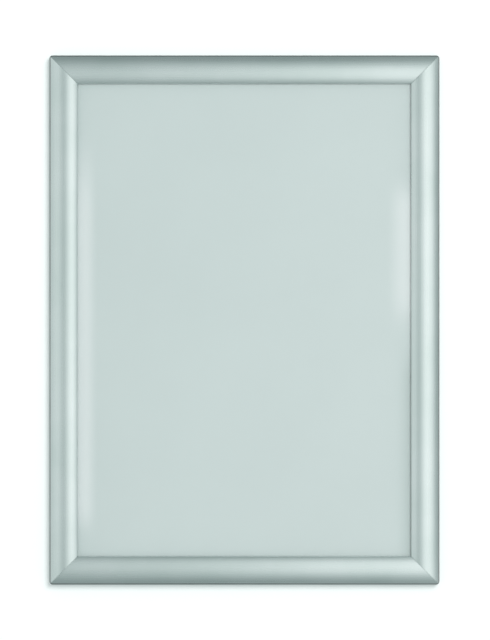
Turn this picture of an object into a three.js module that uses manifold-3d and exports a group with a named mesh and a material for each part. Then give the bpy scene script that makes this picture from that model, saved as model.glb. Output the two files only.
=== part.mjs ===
// Outdoor snap frame: a poster frame for a wall. Four mitred base rails hold a backing sheet, an insert and
// a clear cover. Four crowned snap rails hinge on a bead along the outer edge of the base rails and flip open
// one by one. The back lies in the plane y = 0 with the origin at its centre, the front faces -Y and +Z is up.
// Sizes are in mm.
//
// A rail section is drawn with u inward from the outer edge of the frame and w outward from the wall.

import * as THREE from 'three';
import { mergeVertices } from 'three/addons/utils/BufferGeometryUtils.js';
import Module from 'manifold-3d';

const wasm = await Module();
wasm.setup();
const radians = THREE.MathUtils.degToRad;
const degrees = THREE.MathUtils.radToDeg;

// Sheets
const insertWidth = 420;
const insertHeight = 594;
const insertThickness = 0.25;
const insertOverlap = 1.5; // how far the lip of a snap rail covers the edge of the insert
const coverThickness = 0.8;
const panelThickness = 0.8;
const sheetCorner = 3;

// Fits
const clearance = 0.3;
const mitreGap = 0.3;
const cornerRadius = 4; // outer corner of the frame, seen from the front

// Base rail section
const baseWall = 1.4;
const webWall = 1.3;
const panelLip = 1; // thickness of the lip over the backing sheet
const panelLedge = 5.8; // how far the floor reaches under the backing sheet
const fenceRise = 2.2; // height of the fence above the cover
const keyLip = 1; // thickness of the two lips over the corner key
const keyLipReach = 2;
const ribHook = 1.2; // thickness and overhang of the hook that keeps the springs upright

// Hinge
const beadRadius = 1.5;
const beadSetback = 1.2; // from the inside of the outer wall to the middle of the bead
const hookWall = 1.3;
const openAngle = 90;
const hookEnd = 105; // upper end of the hinge hook, in degrees anticlockwise from the inward direction
const hookTip = -97; // lower end of the hinge hook
const neckOuter = 207; // the neck that carries the bead lies between these two directions
const neckInner = 255;
const camFlat = 0.35; // depth of the two flats that the springs press on

// Leaf springs
const springLength = 90;
const springHeight = 7;
const springThickness = 0.5;
const springBow = 6.2;
const springAboveHinge = 2.6;
const springFoot = 6; // straight foot at each end of a spring
const springsOnShortSide = 2;
const springsOnLongSide = 3;
const springFreeEnd = 70; // no spring within this distance of a corner

// Corner keys and their screws
const keyWidth = 11.5;
const keyThickness = 2.2;
const keyArm = 50;
const keyRelief = 0.8; // round relief in the inner corner of a key
const keyChamfer = 2.5;
const screwDiameter = 4;
const screwLength = 3.4;
const screwPoint = 0.8; // length of the cone at the lower end
const screwSocket = 2; // across the flats of the hexagon socket
const screwSocketDepth = 1.6;
const screwInset = 14; // from the end of the key arm

// Fixing holes in the floor of the base rails
const fixingHole = 5;
const fixingInset = 118; // from the corner of the frame

// Snap rail section
const skin = 1.4;
const crownRadius = 25;
const lipRadius = 1.2;
const sealSetback = 1.7; // from the fence to the rib that holds the gasket
const sealLedge = 0.8; // thickness of the two ledges that hold the gasket
const sealLedgeReach = 0.6;
const lipDrop = 1.8; // how far the lip reaches below those ledges, so that it hides the gasket

// Gasket
const gasketWidth = 2.8;
const gasketShoulder = 0.1;
const gasketHead = 0.9;

// Facets
const sagitta = 0.012; // largest distance of a facet from the true arc
const holeFacets = 24;
const screwFacets = 20;
const weld = 1e-5; // corners closer than this are one corner

// Heights above the wall
const floorTop = baseWall;
const panelLow = floorTop + clearance;
const panelHigh = panelLow + panelThickness;
const insertLow = panelHigh + clearance;
const panelLipLow = panelHigh + clearance;
const panelLipHigh = panelLipLow + panelLip;
const coverLow = panelLipHigh + clearance;
const coverHigh = coverLow + coverThickness;
const fenceTop = coverHigh + fenceRise;
const keyLow = floorTop + clearance;
const keyHigh = keyLow + keyThickness;
const keyLipLow = keyHigh + clearance;
const keyLipHigh = keyLipLow + keyLip;
const springLow = floorTop + clearance;
const springHigh = springLow + springHeight;
const ribHookLow = springHigh + clearance;
const ribTop = ribHookLow + ribHook;
const bulbRadius = gasketWidth / 2;
const bulbCentre = coverHigh + clearance + bulbRadius;
const sealLedgeLow = bulbCentre + gasketShoulder + clearance;
const sealLedgeHigh = sealLedgeLow + sealLedge;
const headLow = sealLedgeHigh + clearance;
const headHigh = headLow + gasketHead;
const lipLow = sealLedgeLow - lipDrop;
const lipEdge = headHigh + clearance + skin / 2; // where the crown would meet the inner face of the lip

// Distances inward from the outer edge
const hookInner = beadRadius + clearance;
const hookOuter = hookInner + hookWall;
const hingeIn = baseWall + beadSetback;
const hinge = new THREE.Vector2(hingeIn, springHigh - springAboveHinge);
const hookEdge = hingeIn + hookOuter * Math.cos(radians(hookEnd)); // outer edge of a snap rail
const springCrown = hingeIn + hookOuter + clearance;
const ribOuter = springCrown + springThickness + springBow + clearance;
const ribInner = ribOuter + webWall;
const channelMiddle = ribInner + clearance + keyWidth / 2;
const fenceOuter = ribInner + keyWidth + 2 * clearance;
const fenceInner = fenceOuter + webWall;
const sealRibOuter = fenceInner + sealSetback;
const sealRibInner = sealRibOuter + webWall;
const lipOuter = sealRibInner + gasketWidth + 2 * clearance;
const railWidth = lipOuter + skin;
const sealMiddle = (sealRibInner + lipOuter) / 2;
const insertEdge = railWidth - insertOverlap;
const panelLipEnd = insertEdge - 2 * clearance;
const floorEnd = fenceInner + panelLedge;

// The crown of a snap rail is an arc from the end of its hinge hook to the edge of its lip
const hingeEnd = onCircle(hinge, hookOuter, hookEnd);
const crown = arcCentre(hingeEnd, point(railWidth, lipEdge), crownRadius);
const railDepth = crown.y + crownRadius;

// The whole frame
const outerWidth = insertWidth + 2 * insertEdge;
const outerHeight = insertHeight + 2 * insertEdge;
const sheetSetback = fenceInner + clearance;

const sides = [
  { name: 'bottom', turn: 0, length: outerWidth, reach: outerHeight / 2, springs: springsOnShortSide },
  { name: 'left', turn: 90, length: outerHeight, reach: outerWidth / 2, springs: springsOnLongSide },
  { name: 'top', turn: 180, length: outerWidth, reach: outerHeight / 2, springs: springsOnShortSide },
  { name: 'right', turn: 270, length: outerHeight, reach: outerWidth / 2, springs: springsOnLongSide },
];

// Finishes
const finishes = {
  anodised: { color: 0xd3dcda, roughness: 0.34, metalness: 1 },
  millFinish: { color: 0xc2c8c8, roughness: 0.45, metalness: 1 },
  galvanised: { color: 0xb4babc, roughness: 0.5, metalness: 1 },
  springSteel: { color: 0x6f7780, roughness: 0.35, metalness: 1 },
  zinc: { color: 0x9aa0a4, roughness: 0.5, metalness: 1 },
  blackSteel: { color: 0x2b2d30, roughness: 0.5, metalness: 0.8 },
  rubber: { color: 0x1c1e20, roughness: 0.8, metalness: 0 },
  paper: { color: 0xcbdad6, roughness: 0.85, metalness: 0 },
  clearSheet: { color: 0xe9f2f0, roughness: 0.25, metalness: 0 },
};

// Outlines

function point(u, w) {
  return new THREE.Vector2(u, w);
}

function onCircle(centre, radius, direction) {
  const turn = radians(direction);
  return point(centre.x + radius * Math.cos(turn), centre.y + radius * Math.sin(turn));
}

function directionFrom(centre, target) {
  return degrees(Math.atan2(target.y - centre.y, target.x - centre.x));
}

// Points along an arc from one direction to another, both ends included, as many as the sagitta asks for
function arc(centre, radius, from, to) {
  const step = 2 * degrees(Math.acos(1 - sagitta / radius));
  const count = Math.max(2, Math.ceil(Math.abs(to - from) / step));
  const points = [];
  for (let i = 0; i <= count; i += 1) {
    points.push(onCircle(centre, radius, from + ((to - from) * i) / count));
  }
  return points;
}

// Centre of the arc of a given radius that rises over the chord between two points
function arcCentre(left, right, radius) {
  const half = left.distanceTo(right) / 2;
  const along = right.clone().sub(left).normalize();
  const below = point(along.y, -along.x);
  const middle = left.clone().add(right).multiplyScalar(0.5);
  return middle.addScaledVector(below, Math.sqrt(radius * radius - half * half));
}

// Height of a circle above the wall at a distance u from the outer edge
function heightAt(centre, radius, u) {
  return centre.y + Math.sqrt(radius * radius - (u - centre.x) ** 2);
}

// Solids

// Turns a section (u, w) and its length into rail axes: u to +Z, w to -Y, the length to +X
const sectionToRail = new THREE.Matrix4().makeBasis(
  new THREE.Vector3(0, 0, 1),
  new THREE.Vector3(0, -1, 0),
  new THREE.Vector3(1, 0, 0),
);

// Turns a plan outline (x, u) and its rise from the wall into rail axes: x to +X, u to +Z, the rise to -Y
const planToRail = new THREE.Matrix4().makeBasis(
  new THREE.Vector3(1, 0, 0),
  new THREE.Vector3(0, 0, 1),
  new THREE.Vector3(0, -1, 0),
);

function extrudeSection(outline, side) {
  const shape = new THREE.Shape(outline);
  const geometry = new THREE.ExtrudeGeometry(shape, { depth: side.length, bevelEnabled: false });
  geometry.translate(0, 0, -side.length / 2);
  geometry.applyMatrix4(sectionToRail);
  geometry.translate(0, 0, -side.reach);
  return geometry;
}

// A prism with its outline in the plane of the wall, between two heights, measured from an edge at z = -reach
function extrudePlan(shape, low, high, reach) {
  const geometry = new THREE.ExtrudeGeometry(shape, { depth: high - low, bevelEnabled: false });
  geometry.translate(0, 0, low);
  geometry.applyMatrix4(planToRail);
  geometry.translate(0, 0, -reach);
  return geometry;
}

function solidOf(geometry) {
  const bare = geometry.clone();
  bare.deleteAttribute('normal');
  bare.deleteAttribute('uv');
  const merged = mergeVertices(bare, weld);
  const mesh = new wasm.Mesh({
    numProp: 3,
    vertProperties: new Float32Array(merged.attributes.position.array),
    triVerts: new Uint32Array(merged.index.array),
  });
  return new wasm.Manifold(mesh);
}

function geometryOf(solid) {
  const mesh = solid.getMesh();
  const geometry = new THREE.BufferGeometry();
  geometry.setAttribute('position', new THREE.BufferAttribute(new Float32Array(mesh.vertProperties), 3));
  geometry.setIndex(new THREE.BufferAttribute(new Uint32Array(mesh.triVerts), 1));
  geometry.computeVertexNormals();
  return geometry;
}

function cut(solid, geometries) {
  return geometries.reduce((rest, geometry) => rest.subtract(solidOf(geometry)), solid);
}

function piece(name, geometry, finish) {
  const mesh = new THREE.Mesh(geometry, new THREE.MeshStandardMaterial(finishes[finish]));
  mesh.name = name;
  return mesh;
}

// What a side keeps between its two mitres. The outer corners of the frame are round about one centre, so
// a piece that starts at an edge further in has a smaller corner.
function mitrePrism(side, edge) {
  const half = side.length / 2;
  const gap = mitreGap / Math.SQRT2;
  const corner = Math.max(cornerRadius - edge, clearance);
  const middle = edge + corner;
  const left = arc(point(gap - half + middle, middle), corner, 225, 270);
  const right = arc(point(half - gap - middle, middle), corner, 270, 315);
  const inner = railWidth + clearance;
  const outline = [...left, ...right, point(half - gap - inner, inner), point(gap - half + inner, inner)];
  return extrudePlan(new THREE.Shape(outline), -clearance, railDepth + clearance, side.reach);
}

// Base rail: floor, outer wall with the hinge bead, spring rib, key channel, fence and groove for the backing
function baseOutline() {
  const neckLow = onCircle(hinge, beadRadius, neckInner);
  const wallTop = hinge.y - hinge.x * Math.tan(radians(neckOuter - 180));
  return [
    point(0, 0),
    point(floorEnd, 0),
    point(floorEnd, floorTop),
    point(fenceInner, floorTop),
    point(fenceInner, panelLipLow),
    point(panelLipEnd, panelLipLow),
    point(panelLipEnd, panelLipHigh),
    point(fenceInner, panelLipHigh),
    point(fenceInner, fenceTop),
    point(fenceOuter, fenceTop),
    point(fenceOuter, keyLipHigh),
    point(fenceOuter - keyLipReach, keyLipHigh),
    point(fenceOuter - keyLipReach, keyLipLow),
    point(fenceOuter, keyLipLow),
    point(fenceOuter, floorTop),
    point(ribInner, floorTop),
    point(ribInner, keyLipLow),
    point(ribInner + keyLipReach, keyLipLow),
    point(ribInner + keyLipReach, keyLipHigh),
    point(ribInner, keyLipHigh),
    point(ribInner, ribTop),
    point(ribOuter - ribHook, ribTop),
    point(ribOuter - ribHook, ribHookLow),
    point(ribOuter, ribHookLow),
    point(ribOuter, floorTop),
    point(baseWall, floorTop),
    point(baseWall, neckLow.y - (neckLow.x - baseWall)),
    ...arc(hinge, beadRadius, neckInner - 360, neckOuter),
    point(0, wallTop),
  ];
}

function fixingHoles(side) {
  return [-1, 1].map((end) => {
    const geometry = new THREE.CylinderGeometry(fixingHole / 2, fixingHole / 2, 4 * floorTop, holeFacets);
    geometry.translate(end * (side.length / 2 - fixingInset), 0, channelMiddle - side.reach);
    return geometry;
  });
}

function baseRail(side) {
  const bar = solidOf(extrudeSection(baseOutline(), side));
  const mitred = bar.intersect(solidOf(mitrePrism(side, 0)));
  const drilled = cut(mitred, fixingHoles(side));
  return piece(`base_rail_${side.name}`, geometryOf(drilled), 'millFinish');
}

// Snap rail: a crowned skin from the hinge hook to the lip. The hook wraps the bead and carries two flats for
// the springs, one for the closed rail and one for the open rail. Two ledges under the lip hold the gasket.
function snapOutline() {
  const inside = crownRadius - skin;
  const lipCentreU = railWidth - lipRadius;
  const lipCentre = point(lipCentreU, heightAt(crown, crownRadius - lipRadius, lipCentreU));
  const lipTangent = directionFrom(crown, lipCentre);

  const reach = hinge.distanceTo(crown);
  const spread = Math.acos((inside ** 2 - reach ** 2 - hookOuter ** 2) / (2 * reach * hookOuter));
  const hookTop = directionFrom(crown, hinge) - degrees(spread);
  const flat = hookOuter - camFlat;
  const flatHalf = degrees(Math.acos(flat / hookOuter));
  const tipRadius = flat / Math.cos(radians(hookTip + openAngle));

  const underCrown = (from, to) => {
    const start = point(from, heightAt(crown, inside, from));
    const end = point(to, heightAt(crown, inside, to));
    return arc(crown, inside, directionFrom(crown, start), directionFrom(crown, end));
  };

  return [
    ...arc(crown, crownRadius, directionFrom(crown, hingeEnd), lipTangent),
    ...arc(lipCentre, lipRadius, lipTangent, 0).slice(1),
    point(railWidth, lipLow),
    point(lipOuter, lipLow),
    point(lipOuter, sealLedgeLow),
    point(lipOuter - sealLedgeReach, sealLedgeLow),
    point(lipOuter - sealLedgeReach, sealLedgeHigh),
    point(lipOuter, sealLedgeHigh),
    ...underCrown(lipOuter, sealRibInner),
    point(sealRibInner, sealLedgeHigh),
    point(sealRibInner + sealLedgeReach, sealLedgeHigh),
    point(sealRibInner + sealLedgeReach, sealLedgeLow),
    point(sealRibOuter, sealLedgeLow),
    ...underCrown(sealRibOuter, onCircle(hinge, hookOuter, hookTop).x),
    ...arc(hinge, hookOuter, hookTop, flatHalf).slice(1),
    ...arc(hinge, hookOuter, -flatHalf, flatHalf - openAngle),
    onCircle(hinge, tipRadius, hookTip),
    ...arc(hinge, hookInner, hookTip, hookEnd),
  ];
}

// The hook stops short of each mitre, so that it turns clear of the neighbouring rail
function hookReliefs(side) {
  const depth = hingeIn + hookOuter + clearance;
  const high = hinge.y + hookInner + clearance;
  const inward = hookEdge - clearance;
  return [-1, 1].map((end) => {
    const geometry = new THREE.BoxGeometry(2 * depth, high + clearance, depth - inward);
    const middle = (high - clearance) / 2;
    geometry.translate((end * side.length) / 2, -middle, (depth + inward) / 2 - side.reach);
    return geometry;
  });
}

function snapRail(side) {
  const bar = solidOf(extrudeSection(snapOutline(), side));
  const mitred = bar.intersect(solidOf(mitrePrism(side, hookEdge)));
  const relieved = cut(mitred, hookReliefs(side));
  return piece(`snap_rail_${side.name}`, geometryOf(relieved), 'anodised');
}

// Gasket: a head behind the ledges of the snap rail, a neck between them and a round bulb over the cover
function gasketOutline() {
  const half = gasketWidth / 2;
  const neck = half - sealLedgeReach;
  const bulbTop = bulbCentre + gasketShoulder;
  return [
    point(sealMiddle - half, bulbTop),
    ...arc(point(sealMiddle, bulbCentre), bulbRadius, 180, 360),
    point(sealMiddle + half, bulbTop),
    point(sealMiddle + neck, bulbTop),
    point(sealMiddle + neck, headLow),
    point(sealMiddle + half, headLow),
    point(sealMiddle + half, headHigh),
    point(sealMiddle - half, headHigh),
    point(sealMiddle - half, headLow),
    point(sealMiddle - neck, headLow),
    point(sealMiddle - neck, bulbTop),
  ];
}

function gasket(side) {
  const strip = solidOf(extrudeSection(gasketOutline(), side));
  const mitred = strip.intersect(solidOf(mitrePrism(side, 0)));
  return piece(`gasket_${side.name}`, geometryOf(mitred), 'rubber');
}

// Leaf spring: a strip on edge, bowed towards the hinge, with a straight foot at each end by the spring rib
function springOutline(middle) {
  const half = springLength / 2;
  const bowHalf = half - springFoot;
  const radius = (bowHalf ** 2 + springBow ** 2) / (2 * springBow);
  const sweep = degrees(Math.asin(bowHalf / radius));
  const centre = point(middle, springCrown + springThickness + radius);
  const near = arc(centre, radius + springThickness, 270 - sweep, 270 + sweep);
  const far = arc(centre, radius, 270 + sweep, 270 - sweep);
  const footFar = ribOuter - clearance;
  const footNear = footFar - springThickness;
  return [
    point(middle - half, footNear),
    ...near.filter((place) => place.y < footNear),
    point(middle + half, footNear),
    point(middle + half, footFar),
    ...far,
    point(middle - half, footFar),
  ];
}

function leafSprings(side) {
  const room = side.length - 2 * springFreeEnd;
  const springs = [];
  for (let i = 0; i < side.springs; i += 1) {
    const middle = ((i + 0.5) / side.springs - 0.5) * room;
    const shape = new THREE.Shape(springOutline(middle));
    const geometry = extrudePlan(shape, springLow, springHigh, side.reach);
    springs.push(piece(`leaf_spring_${side.name}_${i + 1}`, geometry, 'springSteel'));
  }
  return springs;
}

// Corner key: an L whose arms lie in the channels of two neighbouring base rails, drawn from the outer corner
function keyShape(half) {
  const near = ribInner + clearance;
  const far = near + keyWidth;
  const end = near + keyArm;
  const at = (x, u) => point(x - half, u);
  const outline = [
    at(near + keyChamfer, near),
    at(end - keyChamfer, near),
    at(end, near + keyChamfer),
    at(end, far - keyChamfer),
    at(end - keyChamfer, far),
    ...arc(at(far, far), keyRelief, 0, -270),
    at(far, end - keyChamfer),
    at(far - keyChamfer, end),
    at(near + keyChamfer, end),
    at(near, end - keyChamfer),
    at(near, near + keyChamfer),
  ];
  const shape = new THREE.Shape(outline);
  const along = end - screwInset;
  const holeRadius = screwDiameter / 2 + clearance;
  for (const centre of [at(along, channelMiddle), at(channelMiddle, along)]) {
    shape.holes.push(new THREE.Path(arc(centre, holeRadius, 360, 0).slice(1)));
  }
  return shape;
}

// Grub screw with a cone point and a hexagon socket, with its point at the origin and its head along +Y
function grubScrew() {
  const radius = screwDiameter / 2;
  const profile = [
    point(0, 0),
    point(radius - screwPoint, 0),
    point(radius, screwPoint),
    point(radius, screwLength),
    point(0, screwLength),
  ];
  const body = new THREE.LatheGeometry(profile, screwFacets);
  const socketRadius = screwSocket / Math.sqrt(3);
  const socket = new THREE.CylinderGeometry(socketRadius, socketRadius, 2 * screwSocketDepth, 6);
  socket.translate(0, screwLength, 0);
  return geometryOf(cut(solidOf(body), [socket]));
}

// The key at the left end of a side, seen with that side at the bottom, and its two screws
function cornerKey(side, corner) {
  const half = side.length / 2;
  const key = piece(`corner_key_${corner}`, extrudePlan(keyShape(half), keyLow, keyHigh, side.reach), 'zinc');
  const along = ribInner + clearance + keyArm - screwInset;
  const places = [
    { name: 'a', x: along, u: channelMiddle },
    { name: 'b', x: channelMiddle, u: along },
  ];
  const screws = places.map((place) => {
    const screw = piece(`key_screw_${corner}_${place.name}`, grubScrew(), 'blackSteel');
    screw.rotation.x = Math.PI;
    screw.position.set(place.x - half, -keyLow, place.u - side.reach);
    return screw;
  });
  return [key, ...screws];
}

// Flat sheets
function roundedRectangle(width, height, radius) {
  const x = width / 2 - radius;
  const z = height / 2 - radius;
  return new THREE.Shape([
    ...arc(point(x, z), radius, 0, 90),
    ...arc(point(-x, z), radius, 90, 180),
    ...arc(point(-x, -z), radius, 180, 270),
    ...arc(point(x, -z), radius, 270, 360),
  ]);
}

function sheet(name, width, height, low, thickness, finish) {
  const shape = roundedRectangle(width, height, sheetCorner);
  return piece(name, extrudePlan(shape, low, low + thickness, 0), finish);
}

const frame = new THREE.Group();
const corners = { bottom: 'bottom_left', left: 'top_left', top: 'top_right', right: 'bottom_right' };

for (const side of sides) {
  const group = new THREE.Group();
  group.rotation.y = radians(side.turn);
  group.add(baseRail(side), snapRail(side), gasket(side));
  group.add(...leafSprings(side), ...cornerKey(side, corners[side.name]));
  frame.add(group);
}

const sheetWidth = outerWidth - 2 * sheetSetback;
const sheetHeight = outerHeight - 2 * sheetSetback;
frame.add(
  sheet('back_panel', sheetWidth, sheetHeight, panelLow, panelThickness, 'galvanised'),
  sheet('insert_sheet', insertWidth, insertHeight, insertLow, insertThickness, 'paper'),
  sheet('cover_sheet', sheetWidth, sheetHeight, coverLow, coverThickness, 'clearSheet'),
);

export default frame;
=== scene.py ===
import math

import bmesh
import bpy
from mathutils import Matrix, Vector


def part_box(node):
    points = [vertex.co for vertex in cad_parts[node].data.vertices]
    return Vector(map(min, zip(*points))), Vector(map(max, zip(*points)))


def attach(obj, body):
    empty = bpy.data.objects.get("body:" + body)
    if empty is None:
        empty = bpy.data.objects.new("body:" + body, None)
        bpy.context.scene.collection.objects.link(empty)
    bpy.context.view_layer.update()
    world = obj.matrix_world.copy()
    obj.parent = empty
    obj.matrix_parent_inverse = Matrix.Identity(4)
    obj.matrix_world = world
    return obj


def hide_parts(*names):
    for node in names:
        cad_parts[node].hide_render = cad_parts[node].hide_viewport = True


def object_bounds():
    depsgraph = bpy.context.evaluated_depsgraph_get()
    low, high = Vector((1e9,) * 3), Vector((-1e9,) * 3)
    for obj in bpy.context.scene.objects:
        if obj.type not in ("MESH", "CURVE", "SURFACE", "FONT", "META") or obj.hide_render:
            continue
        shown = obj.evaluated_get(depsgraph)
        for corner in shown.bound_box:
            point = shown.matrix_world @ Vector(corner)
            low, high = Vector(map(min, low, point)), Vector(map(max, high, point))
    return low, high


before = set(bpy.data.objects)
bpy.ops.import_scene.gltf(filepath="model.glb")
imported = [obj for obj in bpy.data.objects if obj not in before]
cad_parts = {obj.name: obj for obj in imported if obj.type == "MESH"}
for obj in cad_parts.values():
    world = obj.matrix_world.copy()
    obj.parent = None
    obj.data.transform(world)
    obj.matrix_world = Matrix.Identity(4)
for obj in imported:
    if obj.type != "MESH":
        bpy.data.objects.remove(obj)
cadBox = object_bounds()
mm = 0.001  # sizes below are in mm unless a note says otherwise
low, high = cadBox
outerWidth = (high.x - low.x) / mm
outerHeight = (high.z - low.z) / mm
print("frame loaded", round(outerWidth), "by", round(outerHeight), "mm")

# Colours and nodes

def linear(hexCode):
    channels = [int(hexCode[i:i + 2], 16) / 255 for i in (1, 3, 5)]
    return [c / 12.92 if c <= 0.04045 else ((c + 0.055) / 1.055) ** 2.4 for c in channels] + [1.0]

def addNode(tree, kind, settings=None, inputs=None, links=None, stops=None):
    node = tree.nodes.new(kind)
    for name, value in (settings or {}).items():
        setattr(node, name, value)
    for name, value in (inputs or {}).items():
        node.inputs[name].default_value = value
    for name, source in (links or {}).items():
        tree.links.new(source, node.inputs[name])
    for i, (place, colour) in enumerate(stops or []):  # stops of a colour ramp
        stop = node.color_ramp.elements[i] if i < 2 else node.color_ramp.elements.new(place)
        stop.position = place
        stop.color = colour
    return node

def grey(value):
    return [value, value, value, 1.0]

def newMaterial(name, settings):
    material = bpy.data.materials.new(name)
    material.use_nodes = True
    tree = material.node_tree
    shader = tree.nodes["Principled BSDF"]
    for socket, value in settings.items():
        shader.inputs[socket].default_value = value
    return material, tree, shader

def scaled(tree, sizes):  # coordinates in which one unit is a real size in mm, along x, y and z of the piece
    place = addNode(tree, "ShaderNodeTexCoord")
    mapping = addNode(tree, "ShaderNodeMapping", inputs={"Scale": [1 / (size * mm) for size in sizes]},
                      links={"Vector": place.outputs["Object"]})
    return mapping.outputs["Vector"]

# Materials

anodised = {
    "colour": "#E8F4F2",
    "cloud": "#E0EEEB",  # tone of the slow clouds in the etch
    "cloudSize": 70,
    "cloudRange": (0.35, 0.65),  # noise levels between which the tone changes
    "roughness": (0.25, 0.31),
    "lineLength": 260,
    "lineWidth": 1.1,  # real die lines are about 0.2 mm wide, drawn coarser so that they show
    "lineDepth": 0.006,
    "grain": 0.7,  # real etch grain is about 0.05 mm, drawn coarser so that it shows
    "grainDepth": 0.002,
}

def extrudedMetal(name, look):
    material, tree, shader = newMaterial(name, {"Metallic": 1.0})
    cloud = addNode(tree, "ShaderNodeTexNoise", inputs={"Scale": 1.0, "Detail": 3.0},
                    links={"Vector": scaled(tree, [look["cloudSize"]] * 3)})
    lineSizes = [look["lineLength"], look["lineWidth"], look["lineWidth"]]
    line = addNode(tree, "ShaderNodeTexNoise", inputs={"Scale": 1.0, "Detail": 2.0},
                   links={"Vector": scaled(tree, lineSizes)})
    grain = addNode(tree, "ShaderNodeTexNoise", inputs={"Scale": 1.0, "Detail": 1.0},
                    links={"Vector": scaled(tree, [look["grain"]] * 3)})
    cloudy, plain = look["cloudRange"]
    tone = addNode(tree, "ShaderNodeValToRGB", links={"Fac": cloud.outputs["Fac"]},
                   stops=[(cloudy, linear(look["cloud"])), (plain, linear(look["colour"]))])
    smooth, rough = look["roughness"]
    gloss = addNode(tree, "ShaderNodeMapRange", inputs={"To Min": smooth, "To Max": rough},
                    links={"Value": line.outputs["Fac"]})
    lines = addNode(tree, "ShaderNodeBump", inputs={"Distance": look["lineDepth"] * mm},
                    links={"Height": line.outputs["Fac"]})
    etch = addNode(tree, "ShaderNodeBump", inputs={"Distance": look["grainDepth"] * mm},
                   links={"Height": grain.outputs["Fac"], "Normal": lines.outputs["Normal"]})
    tree.links.new(tone.outputs["Color"], shader.inputs["Base Color"])
    tree.links.new(gloss.outputs["Result"], shader.inputs["Roughness"])
    tree.links.new(etch.outputs["Normal"], shader.inputs["Normal"])
    return material

# Aluminium, extruded, etched satin and clear anodised: an even silver that blurs what it reflects
satinAnodisedAluminium = extrudedMetal("satin_anodised_aluminium", anodised)

millFinish = {
    "colour": "#AEB5B4",
    "cloud": "#A0A7A6",
    "cloudSize": 45,
    "cloudRange": (0.35, 0.65),
    "roughness": (0.30, 0.44),
    "lineLength": 180,
    "lineWidth": 0.8,  # lines and grain are drawn coarser here too
    "lineDepth": 0.012,
    "grain": 0.9,
    "grainDepth": 0.002,
}

# Aluminium as it leaves the press: greyer than the anodised rails, with plain die lines
millFinishAluminium = extrudedMetal("mill_finish_aluminium", millFinish)

rubber = {
    "colour": "#1D1F20",
    "bloom": "#33373A",  # pale bloom that rises to the surface of EPDM
    "bloomSize": 12,
    "bloomRange": (0.45, 0.75),
    "pore": 0.5,  # real pores are about 0.1 mm wide, drawn coarser so that they show
    "poreDepth": 0.02,
    "roughness": 0.68,
    "ior": 1.52,
}

# EPDM rubber, extruded: black and matt, with a faint grey bloom
def extrudedRubber():
    material, tree, shader = newMaterial("extruded_epdm_rubber", {
        "Roughness": rubber["roughness"], "IOR": rubber["ior"]})
    bloom = addNode(tree, "ShaderNodeTexNoise", inputs={"Scale": 1.0, "Detail": 4.0},
                    links={"Vector": scaled(tree, [rubber["bloomSize"]] * 3)})
    clean, bloomed = rubber["bloomRange"]
    tone = addNode(tree, "ShaderNodeValToRGB", links={"Fac": bloom.outputs["Fac"]},
                   stops=[(clean, linear(rubber["colour"])), (bloomed, linear(rubber["bloom"]))])
    pore = addNode(tree, "ShaderNodeTexNoise", inputs={"Scale": 1.0, "Detail": 2.0},
                   links={"Vector": scaled(tree, [rubber["pore"]] * 3)})
    skin = addNode(tree, "ShaderNodeBump", inputs={"Distance": rubber["poreDepth"] * mm},
                   links={"Height": pore.outputs["Fac"]})
    tree.links.new(tone.outputs["Color"], shader.inputs["Base Color"])
    tree.links.new(skin.outputs["Normal"], shader.inputs["Normal"])
    return material

epdmRubber = extrudedRubber()

platedSteels = {
    "blued_spring_steel": {  # rolled strip, tempered: slate blue with a straw tint where it ran hotter
        "colours": ("#3E444C", "#565E69", "#6B6456"), "patch": 22, "roughness": (0.26, 0.40)},
    "zinc_plated_steel": {  # stamped and bright zinc plated: pale and a little blue and yellow in patches
        "colours": ("#B9BFC1", "#CDD2D2", "#CBC9B8"), "patch": 9, "roughness": (0.24, 0.40)},
    "black_oxide_steel": {  # machined and blackened in hot salts: near black with a dull oily shine
        "colours": ("#1B1C1E", "#26282B", "#303030"), "patch": 3, "roughness": (0.34, 0.50)},
}
patchLevels = (0.32, 0.52, 0.72)  # noise levels of the dark, the pale and the warm tone

def platedSteel(name):
    look = platedSteels[name]
    material, tree, shader = newMaterial(name, {"Metallic": 1.0})
    patch = addNode(tree, "ShaderNodeTexNoise", inputs={"Scale": 1.0, "Detail": 5.0},
                    links={"Vector": scaled(tree, [look["patch"]] * 3)})
    dark, pale, warm = zip(patchLevels, (linear(colour) for colour in look["colours"]))
    tone = addNode(tree, "ShaderNodeValToRGB", links={"Fac": patch.outputs["Fac"]}, stops=[dark, warm, pale])
    smooth, rough = look["roughness"]
    gloss = addNode(tree, "ShaderNodeMapRange", inputs={"To Min": smooth, "To Max": rough},
                    links={"Value": patch.outputs["Fac"]})
    tree.links.new(tone.outputs["Color"], shader.inputs["Base Color"])
    tree.links.new(gloss.outputs["Result"], shader.inputs["Roughness"])
    return material

bluedSpringSteel = platedSteel("blued_spring_steel")
zincPlatedSteel = platedSteel("zinc_plated_steel")
blackOxideSteel = platedSteel("black_oxide_steel")

spangle = {
    "colours": ("#949C9F", "#A8B0B2", "#BBC2C3"),
    "levels": (0.1, 0.5, 0.9),  # random levels at which a crystal has each of these greys
    "size": 9,  # width of a zinc crystal
    "feather": 4.8,  # width of the waves in the crystals' edges
    "featherReach": 0.35,  # height of these waves, in widths of a crystal
    "roughness": (0.30, 0.52),
}

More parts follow.
